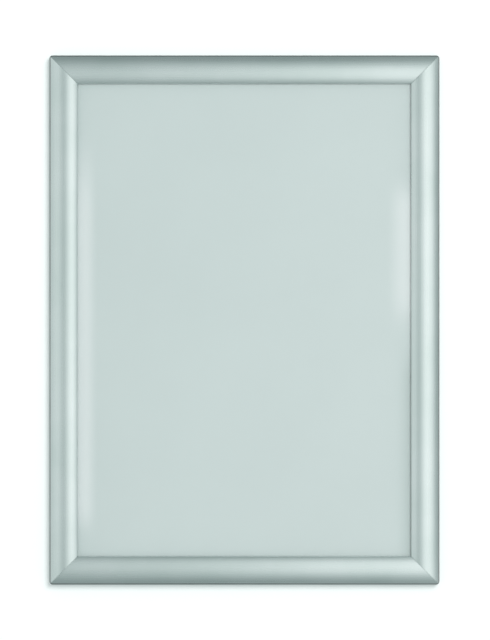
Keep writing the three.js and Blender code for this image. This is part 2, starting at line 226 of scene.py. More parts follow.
# Steel sheet, hot-dip galvanised: large flat zinc crystals, each with its own grey and its own shine
def galvanisedSheet():
    material, tree, shader = newMaterial("hot_dip_galvanised_steel", {"Metallic": 1.0})
    warp = addNode(tree, "ShaderNodeTexNoise", inputs={"Scale": 1.0, "Detail": 2.0},
                   links={"Vector": scaled(tree, [spangle["feather"]] * 3)})
    reach = spangle["featherReach"]
    jitter = addNode(tree, "ShaderNodeVectorMath", settings={"operation": "MULTIPLY_ADD"},
                     inputs={1: (reach, 0.0, reach)},
                     links={0: warp.outputs["Color"], 2: scaled(tree, [spangle["size"]] * 3)})
    crystal = addNode(tree, "ShaderNodeTexVoronoi", inputs={"Scale": 1.0},
                      links={"Vector": jitter.outputs["Vector"]})
    shade = addNode(tree, "ShaderNodeSeparateColor", links={"Color": crystal.outputs["Color"]})
    dark, middle, pale = zip(spangle["levels"], (linear(colour) for colour in spangle["colours"]))
    tone = addNode(tree, "ShaderNodeValToRGB", links={"Fac": shade.outputs["Red"]},
                   stops=[dark, pale, middle])
    smooth, rough = spangle["roughness"]
    gloss = addNode(tree, "ShaderNodeMapRange", inputs={"To Min": smooth, "To Max": rough},
                    links={"Value": shade.outputs["Green"]})
    tree.links.new(tone.outputs["Color"], shader.inputs["Base Color"])
    tree.links.new(gloss.outputs["Result"], shader.inputs["Roughness"])
    return material

galvanisedSteel = galvanisedSheet()

board = {
    "colour": "#CEDDDB",
    "cloud": "#CCDBD9",
    "cloudSize": 160,
    "cloudRange": (0.35, 0.65),
    "roughness": 0.88,
    "ior": 1.45,
    "paintedSheenAndShade": [  # painted sheen and shade in the board's colour; each band goes from none to full along x, then from the low and from the high end along z
        # painted sheen: pale bands of painted reflection along the left and the right edge
        {"tone": "#E0EBEA", "across": (-183, -199), "low": (-276, -232), "high": (248, 130)},
        {"tone": "#E1ECEB", "across": (176, 201), "low": (-24, 36), "high": (187, 138)},
        # painted shade: a darker band beside the right lip, low down
        {"tone": "#BCCDCA", "across": (188, 212), "low": (-302, -290), "high": (-20, -80)},
    ],
    "fibre": 1.4,  # real fibres are about 0.03 mm wide, drawn coarser so that they show
    "fibreDepth": 0.01,
}

# Blank board, calendered and uncoated: a matt pale grey-green, slightly cloudy, with painted sheen along its
# long edges and painted shade low down beside the right lip
def calenderedBoard():
    material, tree, shader = newMaterial("calendered_blank_board", {
        "Roughness": board["roughness"], "IOR": board["ior"]})
    cloud = addNode(tree, "ShaderNodeTexNoise", inputs={"Scale": 1.0, "Detail": 3.0},
                    links={"Vector": scaled(tree, [board["cloudSize"]] * 3)})
    cloudy, plain = board["cloudRange"]
    tone = addNode(tree, "ShaderNodeValToRGB", links={"Fac": cloud.outputs["Fac"]},
                   stops=[(cloudy, linear(board["cloud"])), (plain, linear(board["colour"]))])
    place = addNode(tree, "ShaderNodeTexCoord")
    axes = addNode(tree, "ShaderNodeSeparateXYZ", links={0: place.outputs["Object"]})
    colour = tone.outputs["Color"]
    for edge in board["paintedSheenAndShade"]:
        limits = {}  # each step rises to the value of the one before
        for axis, key in (("X", "across"), ("Z", "low"), ("Z", "high")):
            start, end = edge[key]
            step = addNode(tree, "ShaderNodeMapRange", settings={"interpolation_type": "SMOOTHSTEP"},
                           inputs={"From Min": start * mm, "From Max": end * mm},
                           links={"Value": axes.outputs[axis], **limits})
            limits = {"To Max": step.outputs["Result"]}
        # a mix of colours has them at its inputs 6 and 7 and the result at its output 2
        mixed = addNode(tree, "ShaderNodeMix", settings={"data_type": "RGBA"},
                        inputs={7: linear(edge["tone"])}, links={0: step.outputs["Result"], 6: colour})
        colour = mixed.outputs[2]
    fibre = addNode(tree, "ShaderNodeTexNoise", inputs={"Scale": 1.0, "Detail": 4.0},
                    links={"Vector": scaled(tree, [board["fibre"]] * 3)})
    felt = addNode(tree, "ShaderNodeBump", inputs={"Distance": board["fibreDepth"] * mm},
                   links={"Height": fibre.outputs["Fac"]})
    tree.links.new(colour, shader.inputs["Base Color"])
    tree.links.new(felt.outputs["Normal"], shader.inputs["Normal"])
    return material

blankBoard = calenderedBoard()

clearSheet = {
    "colour": "#FAFBFB",
    "roughness": 0.12,
    "ior": 1.54,
    "ripple": 130,  # width of the slow ripples of a thin sheet
    "rippleDepth": 0.9,
}

# PVC sheet, calendered low-glare: clear, with a soft shine that wanders over its slow ripples
def lowGlareSheet():
    material, tree, shader = newMaterial("calendered_low_glare_pvc", {
        "Base Color": linear(clearSheet["colour"]), "Roughness": clearSheet["roughness"],
        "IOR": clearSheet["ior"], "Transmission Weight": 1.0})
    ripple = addNode(tree, "ShaderNodeTexNoise", inputs={"Scale": 1.0, "Detail": 0.0},
                     links={"Vector": scaled(tree, [clearSheet["ripple"]] * 3)})
    wave = addNode(tree, "ShaderNodeBump", inputs={"Distance": clearSheet["rippleDepth"] * mm},
                   links={"Height": ripple.outputs["Fac"]})
    tree.links.new(wave.outputs["Normal"], shader.inputs["Normal"])
    path = addNode(tree, "ShaderNodeLightPath")  # light on its way to the board passes straight through
    passing = addNode(tree, "ShaderNodeMath", settings={"operation": "MAXIMUM"},
                      links={0: path.outputs["Is Shadow Ray"], 1: path.outputs["Is Diffuse Ray"]})
    clear = addNode(tree, "ShaderNodeBsdfTransparent")
    pane = addNode(tree, "ShaderNodeMixShader", links={
        0: passing.outputs[0], 1: shader.outputs["BSDF"], 2: clear.outputs["BSDF"]})
    tree.links.new(pane.outputs["Shader"], tree.nodes["Material Output"].inputs["Surface"])
    return material

lowGlarePvc = lowGlareSheet()
print("materials made")

# Outlines, drawn with u inward from the outer edge of the frame and w outward from the wall

tiny = 1e-6  # what counts as no length
curveShare = 0.42  # most of an edge that the curve at one of its corners takes
endShare = 0.01  # no point is added this close to the end of an edge, as a share of it

def onCircle(centre, radius, direction):
    turn = math.radians(direction)
    return Vector((centre[0] + radius * math.cos(turn), centre[1] + radius * math.sin(turn)))

def arc(centre, radius, start, end, step=6):
    count = max(2, math.ceil(abs(end - start) / step))
    return [onCircle(centre, radius, start + (end - start) * i / count) for i in range(count + 1)]

def directionFrom(centre, target):
    return math.degrees(math.atan2(target[1] - centre[1], target[0] - centre[0]))

def softened(outline, radius, least=25):  # corners that turn by least degrees or more become small curves
    points = []
    for i, here in enumerate(outline):
        here = Vector(here)
        back = Vector(outline[i - 1]) - here
        ahead = Vector(outline[(i + 1) % len(outline)]) - here
        corner = back.angle(ahead)
        if math.degrees(math.pi - corner) < least:
            points.append(here)
            continue
        setback = min(radius / math.tan(corner / 2), curveShare * back.length, curveShare * ahead.length)
        start = here + back.normalized() * setback
        end = here + ahead.normalized() * setback
        for t in (0, 1 / 3, 2 / 3, 1):
            points.append(start * (1 - t) ** 2 + here * 2 * t * (1 - t) + end * t * t)
    return points

def shrunk(outline, distance):  # the outline moved inward, for an outline that runs counter-clockwise
    points = []
    for i, here in enumerate(outline):
        back = (here - outline[i - 1]).normalized()
        ahead = (outline[(i + 1) % len(outline)] - here).normalized()
        inward = Vector((-back.y - ahead.y, back.x + ahead.x))
        if inward.length < tiny:
            inward = Vector((-ahead.y, ahead.x)) * 2
        points.append(here + inward * (2 * distance / max(inward.length_squared, 1.0)))
    return points

def splitAt(outline, places):  # adds a point wherever the outline crosses one of the distances u
    points = []
    for here, after in zip(outline, outline[1:] + outline[:1]):
        points.append(here)
        run = after.x - here.x
        if abs(run) < tiny:
            continue
        shares = sorted((place - here.x) / run for place in places)
        points += [here.lerp(after, share) for share in shares if endShare < share < 1 - endShare]
    return points

# Pieces

sides = [
    {"name": "bottom", "turn": 0, "length": outerWidth, "reach": outerHeight / 2, "corner": "bottom_left"},
    {"name": "left", "turn": 90, "length": outerHeight, "reach": outerWidth / 2, "corner": "top_left"},
    {"name": "top", "turn": 180, "length": outerWidth, "reach": outerHeight / 2, "corner": "top_right"},
    {"name": "right", "turn": 270, "length": outerHeight, "reach": outerWidth / 2, "corner": "bottom_right"},
]

def sidePlace(side):  # a side's axes: x along the rail, -y out from the wall, z inward from the outer edge
    turn = Matrix.Rotation(math.radians(side["turn"]), 4, "Y")
    return turn @ Matrix.Translation((0, 0, -side["reach"] * mm))

def newPiece(name, points, faces, material, place):
    mesh = bpy.data.meshes.new(name)
    mesh.from_pydata([[c * mm for c in p] for p in points], [], faces)
    solid = bmesh.new()
    solid.from_mesh(mesh)
    bmesh.ops.recalc_face_normals(solid, faces=solid.faces)
    solid.to_mesh(mesh)
    solid.free()
    mesh.materials.append(material)
    piece = bpy.data.objects.new(name, mesh)
    bpy.context.scene.collection.objects.link(piece)
    piece.matrix_world = place
    return piece

def loft(rings):  # skin over closed rings of as many points each, with a cap on both ends
    count = len(rings[0])
    points = [p for ring in rings for p in ring]
    faces = [list(range(count))[::-1], list(range(len(points) - count, len(points)))]
    for r in range(len(rings) - 1):
        for i in range(count):
            j = (i + 1) % count
            faces.append([r * count + i, r * count + j, (r + 1) * count + j, (r + 1) * count + i])
    return points, faces

def baked(piece):  # keeps the mesh as its modifiers leave it
    bpy.context.view_layer.update()
    mesh = bpy.data.meshes.new_from_object(piece.evaluated_get(bpy.context.evaluated_depsgraph_get()))
    piece.modifiers.clear()
    piece.data = mesh

def cutAway(piece, cutters):
    for cutter in cutters:
        cut = piece.modifiers.new("cut", "BOOLEAN")
        cut.operation = "DIFFERENCE"
        cut.solver = "EXACT"
        cut.object = cutter
    baked(piece)
    for cutter in cutters:
        bpy.data.objects.remove(cutter)

smoothBelow = 28  # degrees between two faces, above which their edge stays sharp

def finished(piece, node, body):
    piece.data.shade_smooth()
    piece.data.set_sharp_from_angle(angle=math.radians(smoothBelow))
    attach(piece, body)
    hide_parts(node)

# Rails

fit = {
    "clearance": 0.3, "mitreGap": 0.08, "cornerRadius": 4.0, "cornerSteps": 4,
    "overcut": 0.02,  # keeps the face of a cutter off the faces that it runs along
    "overrun": 1.0,  # how far a cutter for a hole stands out of the piece
    "holeFacets": 40,
}

# Radius of the frame's corner on a piece that starts at this edge, and how far inward it meets the mitre
def roundedCorner(edge):
    corner = max(fit["cornerRadius"] - edge, fit["clearance"])
    return corner, corner * (1 - math.sqrt(0.5))

def cornerSplit(outline, edge):  # adds the points that the rounded corner needs
    reach = roundedCorner(edge)[1]
    steps = fit["cornerSteps"]
    return splitAt(outline, [edge + reach * (i + 1) / steps for i in range(steps)])

def mitreEnd(side, u, edge):  # how far along its rail a mitre lies, with the frame's corner rounded
    corner, reach = roundedCorner(edge)
    run = min(max(u - edge, 0), corner)
    setback = u
    if run < reach:
        setback = edge + corner - math.sqrt(corner ** 2 - (corner - run) ** 2)
    return side["length"] / 2 - fit["mitreGap"] - setback

def mitredRings(outline, side, edge, edgeBreak):
    broken = shrunk(outline, edgeBreak)
    rings = []
    for end in (-1, 1):
        full = [(end * (mitreEnd(side, u, edge) - edgeBreak), -w, u) for u, w in outline]
        cap = [(end * mitreEnd(side, u, edge), -w, u) for u, w in broken]
        rings += [cap, full] if end < 0 else [full, cap]
    return rings

baseRail = {
    "wall": 1.4, "web": 1.3, "ledge": 5.8, "fenceRise": 2.2, "panelLip": 1.0, "insertOverlap": 1.5,
    "keyLip": 1.0, "keyLipReach": 2.0, "ribHook": 1.2, "beadRadius": 1.5, "beadSetback": 1.2,
    "neckOuter": 207, "neckInner": 255,  # directions on the bead, in degrees
    "holeDiameter": 5.0, "holeInset": 118.0, "holeBreak": 0.3, "corners": 0.22, "edgeBreak": 0.1,
}
snapRail = {
    "skin": 1.4, "crownRadius": 25.0, "lipRadius": 1.2, "sealSetback": 1.7, "ledge": 0.8, "ledgeReach": 0.6,
    "lipDrop": 1.8, "hookWall": 1.3, "hookEnd": 105, "hookTip": -97, "camFlat": 0.35, "openAngle": 90,
    "corners": 0.25, "edgeBreak": 0.16,
    "crownStep": 1.2, "underStep": 2, "hookStep": 15,  # degrees between the points of an arc
}
gasket = {"width": 2.8, "shoulder": 0.1, "head": 0.9, "corners": 0.18, "edgeBreak": 0.1}
leafSpring = {
    "length": 90.0, "height": 7.0, "thickness": 0.5, "bow": 6.2, "foot": 6.0, "aboveHinge": 2.6,
    "freeEnd": 70.0, "edge": 0.12, "step": 1.5,
    "blend": 1.0, "blendRise": 0.35,  # the turn from a foot into the bow, along the strip and across it
}
cornerKey = {
    "width": 11.5, "thickness": 2.2, "arm": 50.0, "relief": 0.8, "reliefStep": 45, "chamfer": 2.5,
    "corners": 0.6, "leastCorner": 40, "dieRoll": 0.15, "holeBreak": 0.3,
}
keyScrew = {
    "diameter": 4.0, "length": 3.4, "point": 0.8, "socket": 2.0, "socketDepth": 1.6, "inset": 14.0,
    "pitch": 0.7, "threadDepth": 0.22, "threadRows": 24, "facets": 36,
    "rimHeight": 0.25, "rimSetback": 0.4,  # bevel round the socket
}

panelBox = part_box("back_panel")
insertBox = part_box("insert_sheet")
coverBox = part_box("cover_sheet")
gap = fit["clearance"]

# Heights above the wall
floorTop = baseRail["wall"]
panelLipLow = -panelBox[0].y / mm + gap
panelLipHigh = panelLipLow + baseRail["panelLip"]
coverHigh = -coverBox[0].y / mm
fenceTop = coverHigh + baseRail["fenceRise"]
keyLow = floorTop + gap
keyHigh = keyLow + cornerKey["thickness"]
keyLipLow = keyHigh + gap
keyLipHigh = keyLipLow + baseRail["keyLip"]
springLow = floorTop + gap
springHigh = springLow + leafSpring["height"]
ribHookLow = springHigh + gap
ribTop = ribHookLow + baseRail["ribHook"]
bulbRadius = gasket["width"] / 2
bulbCentre = coverHigh + gap + bulbRadius
ledgeLow = bulbCentre + gasket["shoulder"] + gap
ledgeHigh = ledgeLow + snapRail["ledge"]
headLow = ledgeHigh + gap
headHigh = headLow + gasket["head"]
lipLow = ledgeLow - snapRail["lipDrop"]
lipEdge = headHigh + gap + snapRail["skin"] / 2

# Distances inward from the outer edge
hookInner = baseRail["beadRadius"] + gap
hookOuter = hookInner + snapRail["hookWall"]
hinge = Vector((baseRail["wall"] + baseRail["beadSetback"], springHigh - leafSpring["aboveHinge"]))
hingeEnd = onCircle(hinge, hookOuter, snapRail["hookEnd"])
springCrown = hinge.x + hookOuter + gap
ribOuter = springCrown + leafSpring["thickness"] + leafSpring["bow"] + gap
ribInner = ribOuter + baseRail["web"]
channelMiddle = ribInner + gap + cornerKey["width"] / 2
fenceOuter = ribInner + cornerKey["width"] + 2 * gap
fenceInner = fenceOuter + baseRail["web"]
sealRibOuter = fenceInner + snapRail["sealSetback"]
sealRibInner = sealRibOuter + baseRail["web"]
lipOuter = sealRibInner + gasket["width"] + 2 * gap
railWidth = lipOuter + snapRail["skin"]
sealMiddle = (sealRibInner + lipOuter) / 2
panelLipEnd = railWidth - baseRail["insertOverlap"] - 2 * gap
floorEnd = fenceInner + baseRail["ledge"]

def baseOutline():
    bead = baseRail["beadRadius"]
    neckLow = onCircle(hinge, bead, baseRail["neckInner"])
    wallTop = hinge.y - hinge.x * math.tan(math.radians(baseRail["neckOuter"] - 180))
    reach = baseRail["keyLipReach"]
    hook = ribOuter - baseRail["ribHook"]
    return [
        (0, 0), (floorEnd, 0), (floorEnd, floorTop), (fenceInner, floorTop),
        (fenceInner, panelLipLow), (panelLipEnd, panelLipLow),
        (panelLipEnd, panelLipHigh), (fenceInner, panelLipHigh),
        (fenceInner, fenceTop), (fenceOuter, fenceTop),
        (fenceOuter, keyLipHigh), (fenceOuter - reach, keyLipHigh),
        (fenceOuter - reach, keyLipLow), (fenceOuter, keyLipLow),
        (fenceOuter, floorTop), (ribInner, floorTop),
        (ribInner, keyLipLow), (ribInner + reach, keyLipLow),
        (ribInner + reach, keyLipHigh), (ribInner, keyLipHigh),
        (ribInner, ribTop), (hook, ribTop), (hook, ribHookLow), (ribOuter, ribHookLow),
        (ribOuter, floorTop), (baseRail["wall"], floorTop),
        (baseRail["wall"], neckLow.y - (neckLow.x - baseRail["wall"])),
        *arc(hinge, bead, baseRail["neckInner"] - 360, baseRail["neckOuter"]),
        (0, wallTop),
    ]

def turnedCutter(profile, centre, place):  # a round cutter along w, from pairs of radius and height
    facets = fit["holeFacets"]
    rings = []
    for radius, w in profile:
        ring = [onCircle(centre, radius, 360 * i / facets) for i in range(facets)]
        rings.append([(x, -w, u) for x, u in ring])
    points, faces = loft(rings)
    return newPiece("cutter", points, faces, millFinishAluminium, place)

def makeBaseRail(side):
    name = "base_rail_" + side["name"]
    outline = cornerSplit(softened(baseOutline(), baseRail["corners"]), 0)
    points, faces = loft(mitredRings(outline, side, 0, baseRail["edgeBreak"]))
    piece = newPiece("fine_" + name, points, faces, millFinishAluminium, sidePlace(side))
    radius = baseRail["holeDiameter"] / 2
    wide = radius + baseRail["holeBreak"]
    profile = [(radius, -fit["overrun"]), (radius, floorTop - baseRail["holeBreak"]),
               (wide, floorTop), (wide, floorTop + fit["overrun"])]
    cutters = []
    for end in (-1, 1):
        centre = (end * (side["length"] / 2 - baseRail["holeInset"]), channelMiddle)
        cutters.append(turnedCutter(profile, centre, sidePlace(side)))
    cutAway(piece, cutters)
    finished(piece, name, "base")

for side in sides:
    makeBaseRail(side)
print("base rails made")

def snapOutline():
    chord = Vector((railWidth, lipEdge)) - hingeEnd
    rise = math.sqrt(snapRail["crownRadius"] ** 2 - chord.length_squared / 4)
    below = Vector((chord.y, -chord.x)).normalized()
    crown = hingeEnd + chord / 2 + below * rise
    outer = snapRail["crownRadius"]
    inner = outer - snapRail["skin"]
    lipU = railWidth - snapRail["lipRadius"]

    def onArc(radius, u):
        return Vector((u, crown.y + math.sqrt(radius ** 2 - (u - crown.x) ** 2)))

    def underCrown(start, end):
        ends = [directionFrom(crown, onArc(inner, u)) for u in (start, end)]
        return arc(crown, inner, *ends, snapRail["underStep"])

    lipCentre = onArc(outer - snapRail["lipRadius"], lipU)
    lipTangent = directionFrom(crown, lipCentre)
    reach = (hinge - crown).length
    spread = math.acos((inner ** 2 - reach ** 2 - hookOuter ** 2) / (2 * reach * hookOuter))
    hookTop = directionFrom(crown, hinge) - math.degrees(spread)
    flat = hookOuter - snapRail["camFlat"]
    flatHalf = math.degrees(math.acos(flat / hookOuter))
    tipRadius = flat / math.cos(math.radians(snapRail["hookTip"] + snapRail["openAngle"]))
    ledge = snapRail["ledgeReach"]
    return [
        *arc(crown, outer, directionFrom(crown, hingeEnd), lipTangent, snapRail["crownStep"]),
        *arc(lipCentre, snapRail["lipRadius"], lipTangent, 0)[1:],
        (railWidth, lipLow), (lipOuter, lipLow), (lipOuter, ledgeLow), (lipOuter - ledge, ledgeLow),
        (lipOuter - ledge, ledgeHigh), (lipOuter, ledgeHigh),
        *underCrown(lipOuter, sealRibInner),
        (sealRibInner, ledgeHigh), (sealRibInner + ledge, ledgeHigh),
        (sealRibInner + ledge, ledgeLow), (sealRibOuter, ledgeLow),
        *underCrown(sealRibOuter, onCircle(hinge, hookOuter, hookTop).x),
        *arc(hinge, hookOuter, hookTop, flatHalf)[1:],
        *arc(hinge, hookOuter, -flatHalf, flatHalf - snapRail["openAngle"]),
        onCircle(hinge, tipRadius, snapRail["hookTip"]),
        *arc(hinge, hookInner, snapRail["hookTip"], snapRail["hookEnd"], snapRail["hookStep"]),
    ]

def makeSnapRail(side):  # the outline runs clockwise, so it is turned round first
    name = "snap_rail_" + side["name"]
    edge = hingeEnd.x
    outline = cornerSplit(softened(snapOutline()[::-1], snapRail["corners"]), edge)
    points, faces = loft(mitredRings(outline, side, edge, snapRail["edgeBreak"]))
    piece = newPiece("fine_" + name, points, faces, satinAnodisedAluminium, sidePlace(side))
    depth = hinge.x + hookOuter + gap
    top = hinge.y + hookInner + gap + fit["overcut"]
    corners = [(edge - gap, -gap), (depth, -gap), (depth, top), (edge - gap, top)]
    cutters = []
    for end in (-1, 1):  # the hook stops short of each mitre
        places = [end * (side["length"] / 2 + shift) for shift in (-depth, depth)]
        rings = [[(x, -w, u) for u, w in corners] for x in places]
        cutters.append(newPiece("cutter", *loft(rings), satinAnodisedAluminium, sidePlace(side)))
    cutAway(piece, cutters)
    finished(piece, name, side["name"] + "_snap")

for side in sides:
    makeSnapRail(side)
print("snap rails made")

def gasketOutline():
    half = gasket["width"] / 2
    neck = half - snapRail["ledgeReach"]
    bulbTop = bulbCentre + gasket["shoulder"]
    return [
        (sealMiddle - half, bulbTop),
        *arc((sealMiddle, bulbCentre), bulbRadius, 180, 360),
        (sealMiddle + half, bulbTop), (sealMiddle + neck, bulbTop), (sealMiddle + neck, headLow),
        (sealMiddle + half, headLow), (sealMiddle + half, headHigh), (sealMiddle - half, headHigh),
        (sealMiddle - half, headLow), (sealMiddle - neck, headLow), (sealMiddle - neck, bulbTop),
    ]

for side in sides:
    name = "gasket_" + side["name"]
    outline = softened(gasketOutline(), gasket["corners"])
    rings = mitredRings(outline, side, 0, gasket["edgeBreak"])
    piece = newPiece("fine_" + name, *loft(rings), epdmRubber, sidePlace(side))
    finished(piece, name, side["name"] + "_snap")
print("gaskets made")

# Springs, keys and screws

def springPath(middle):  # middle of the strip seen from the front: a foot, the bow and a foot
    half = leafSpring["length"] / 2
    bowHalf = half - leafSpring["foot"]
    radius = (bowHalf ** 2 + leafSpring["bow"] ** 2) / (2 * leafSpring["bow"])
    sweep = math.degrees(math.asin(bowHalf / radius))
    thickness = leafSpring["thickness"]
    centre = (middle, springCrown + thickness + radius)
    bow = arc(centre, radius + thickness / 2, 270 - sweep, 270 + sweep, leafSpring["step"])
    foot = ribOuter - gap - thickness / 2
    bow = [p for p in bow if p.y < foot - leafSpring["blendRise"]]
    turn = bowHalf + leafSpring["blend"]
    return [Vector((middle - half, foot)), Vector((middle - turn, foot)), *bow,
            Vector((middle + turn, foot)), Vector((middle + half, foot))]

def makeSpring(side, number, middle):
    path = springPath(middle)
    half = leafSpring["thickness"] / 2
    edge = leafSpring["edge"]
    strip = [
        (-half, springLow + edge), (edge - half, springLow),
        (half - edge, springLow), (half, springLow + edge),
        (half, springHigh - edge), (half - edge, springHigh),
        (edge - half, springHigh), (-half, springHigh - edge),
    ]
    rings = []
    for i, here in enumerate(path):
        along = path[min(i + 1, len(path) - 1)] - path[max(i - 1, 0)]
        across = Vector((-along.y, along.x)).normalized()
        rings.append([(here.x + across.x * s, -w, here.y + across.y * s) for s, w in strip])
    name = "leaf_spring_%s_%d" % (side["name"], number)
    piece = newPiece("fine_" + name, *loft(rings), bluedSpringSteel, sidePlace(side))
    finished(piece, name, "base")

for side in sides:
    count = sum(node.startswith("leaf_spring_" + side["name"]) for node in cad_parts)
    span = side["length"] - 2 * leafSpring["freeEnd"]
    for i in range(count):
        makeSpring(side, i + 1, ((i + 0.5) / count - 0.5) * span)
print("leaf springs made")

def keyOutline(side):
    near = ribInner + gap
    far = near + cornerKey["width"]
    end = near + cornerKey["arm"]
    nip = cornerKey["chamfer"]
    plan = [
        (near + nip, near), (end - nip, near), (end, near + nip), (end, far - nip), (end - nip, far),
        *arc((far, far), cornerKey["relief"], 0, -270, cornerKey["reliefStep"]),
        (far, end - nip), (far - nip, end), (near + nip, end), (near, end - nip), (near, near + nip),
    ]
    return [Vector((x - side["length"] / 2, u)) for x, u in plan]

def screwPlaces(side):
    along = ribInner + gap + cornerKey["arm"] - keyScrew["inset"]
    half = side["length"] / 2
    return {"a": (along - half, channelMiddle), "b": (channelMiddle - half, along)}

def makeKey(side):
    name = "corner_key_" + side["corner"]
    outline = softened(keyOutline(side), cornerKey["corners"], cornerKey["leastCorner"])
    roll = cornerKey["dieRoll"]
    broken = shrunk(outline, roll)
    levels = [(broken, keyLow), (outline, keyLow + roll), (outline, keyHigh - roll), (broken, keyHigh)]
    rings = [[(x, -w, u) for x, u in ring] for ring, w in levels]
    piece = newPiece("fine_" + name, *loft(rings), zincPlatedSteel, sidePlace(side))
    radius = keyScrew["diameter"] / 2 + gap
    holeBreak = cornerKey["holeBreak"]
    wide = radius + holeBreak
    profile = [(wide, keyLow - fit["overrun"]), (wide, keyLow), (radius, keyLow + holeBreak),
               (radius, keyHigh - holeBreak), (wide, keyHigh), (wide, keyHigh + fit["overrun"])]
    cutAway(piece, [turnedCutter(profile, centre, sidePlace(side)) for centre in screwPlaces(side).values()])
    finished(piece, name, "base")

def makeScrew(side, letter, centre):  # a cone point, a helical thread and a hexagon socket
    name = "key_screw_%s_%s" % (side["corner"], letter)
    radius = keyScrew["diameter"] / 2
    length = keyScrew["length"]
    facets = keyScrew["facets"]
    top = length - keyScrew["rimHeight"]
    rows = keyScrew["threadRows"]
    turns = [360 * i / facets for i in range(facets)]
    socket = keyScrew["socket"] / 2

    def ring(radii, height):
        points = [onCircle(centre, r, turn) for r, turn in zip(radii, turns)]
        return [(x, -(keyLow + height), u) for x, u in points]

    def thread(height):
        phases = [(height / keyScrew["pitch"] - turn / 360) % 1 for turn in turns]
        return [radius - keyScrew["threadDepth"] * abs(2 * phase - 1) for phase in phases]

    hexagon = [socket / math.cos(math.radians((turn + 30) % 60 - 30)) for turn in turns]
    rings = [ring([radius - keyScrew["point"]] * facets, 0)]
    for i in range(rows + 1):
        height = keyScrew["point"] + (top - keyScrew["point"]) * i / rows
        rings.append(ring(thread(height), height))
    rings.append(ring([radius - keyScrew["rimSetback"]] * facets, length))
    rings.append(ring(hexagon, length))
    rings.append(ring(hexagon, length - keyScrew["socketDepth"]))
    piece = newPiece("fine_" + name, *loft(rings), blackOxideSteel, sidePlace(side))
    finished(piece, name, "base")

for side in sides:
    makeKey(side)
    for letter, centre in screwPlaces(side).items():
        makeScrew(side, letter, centre)
print("corner keys and screws made")

# Sheets

sheet = {"corner": 3.0, "cornerAngles": (90, 67, 45, 22, 0), "step": 12.0, "dish": 0.55, "dishRun": 16.0}

def spread(half, corner, step):  # distances across a sheet, closer together at its rounded corners
    edge = [half - corner * (1 - math.sin(math.radians(angle))) for angle in sheet["cornerAngles"]]
    count = round(2 * edge[-1] / step)
    inner = [edge[-1] * (1 - 2 * i / count) for i in range(1, count)]
    return edge + inner + [-x for x in edge[::-1]]

def makeSheet(name, box, material, sag):
    width = (box[1].x - box[0].x) / mm
    height = (box[1].z - box[0].z) / mm
    back = -box[1].y / mm
    front = -box[0].y / mm
    corner = sheet["corner"]
    columns = spread(width / 2, corner, sheet["step"])
    rows = spread(height / 2, corner, sheet["step"])
    points = []
    for level in (front, back):
        for x in columns:
            over = max(abs(x) - (width / 2 - corner), 0)
            reach = height / 2 - corner + math.sqrt(max(corner ** 2 - over ** 2, 0))
            for row in rows:
                z = row * reach / (height / 2)
                points.append((x, sag(x, z) - level, z))
    across, down = len(columns), len(rows)
    grid = across * down
    faces = []
    for i in range(across - 1):
        for j in range(down - 1):
            a = i * down + j
            faces.append([a, a + 1, a + down + 1, a + down])
            faces.append([grid + a, grid + a + down, grid + a + down + 1, grid + a + 1])
    rim = [i * down for i in range(across)]
    rim += [(across - 1) * down + j for j in range(1, down)]
    rim += [i * down + down - 1 for i in range(across - 2, -1, -1)]
    rim += list(range(down - 2, 0, -1))
    for a, b in zip(rim, rim[1:] + rim[:1]):
        faces.append([a, b, grid + b, grid + a])
    piece = newPiece("fine_" + name, points, faces, material, Matrix.Identity(4))
    finished(piece, name, "base")

def coverSag(x, z):  # the cover dips towards the board inside the lips
    inside = min(outerWidth / 2 - railWidth - abs(x), outerHeight / 2 - railWidth - abs(z))
    share = min(max(inside / sheet["dishRun"], 0), 1)
    return sheet["dish"] * share * share * (3 - 2 * share)

def flat(x, z):
    return 0

makeSheet("back_panel", panelBox, galvanisedSteel, flat)
makeSheet("insert_sheet", insertBox, blankBoard, flat)
makeSheet("cover_sheet", coverBox, lowGlarePvc, coverSag)
print("sheets made")

# Stage

stage = {  # sizes in metres
    "wallGap": 0.004, "wallHalf": 1.5, "floorHalf": 8.0, "floor": -1.15,
    "white": "#F4F5F5", "wallLift": ("#DDFFFA", 0.225), "floorLift": ("#FFFFFF", 0.43),
}

# Emulsion paint, rolled on: a flat white without any shine
def stagePlane(name, corners, glow, oneSided):
    mesh = bpy.data.meshes.new(name)
    mesh.from_pydata(corners, [], [[0, 1, 2, 3]])
    plane = bpy.data.objects.new(name, mesh)
    bpy.context.scene.collection.objects.link(plane)
    material, tree, shader = newMaterial(name + "_paint", {
        "Base Color": linear(stage["white"]), "Roughness": 1.0, "Specular IOR Level": 0.0})
    path = addNode(tree, "ShaderNodeLightPath")  # only the camera sees the lift that makes the paint white
    glowColour, glowStrength = glow
    lift = addNode(tree, "ShaderNodeMath", settings={"operation": "MULTIPLY"}, inputs={1: glowStrength},
                   links={0: path.outputs["Is Camera Ray"]})
    shader.inputs["Emission Color"].default_value = linear(glowColour)
    tree.links.new(lift.outputs[0], shader.inputs["Emission Strength"])
    if oneSided:  # seen from behind, the wall is not there
        facing = addNode(tree, "ShaderNodeNewGeometry")
        clear = addNode(tree, "ShaderNodeBsdfTransparent")
        both = addNode(tree, "ShaderNodeMixShader", links={
            0: facing.outputs["Backfacing"], 1: shader.outputs["BSDF"], 2: clear.outputs["BSDF"]})
        tree.links.new(both.outputs["Shader"], tree.nodes["Material Output"].inputs["Surface"])
    mesh.materials.append(material)
    return plane

square = [(-1, -1), (1, -1), (1, 1), (-1, 1)]
wallCorners = [(stage["wallHalf"] * x, stage["wallGap"], stage["wallHalf"] * z) for x, z in square]
floorCorners = [(stage["floorHalf"] * x, stage["floorHalf"] * y, stage["floor"]) for x, y in square]
wall = stagePlane("wall", wallCorners, stage["wallLift"], True)
floor = stagePlane("floor", floorCorners, stage["floorLift"], False)
for plane in (wall, floor):  # the frame gets the light of the room on all sides
    plane.visible_diffuse = False
    plane.visible_glossy = False
    plane.visible_transmission = False
    plane.visible_shadow = False

# Light

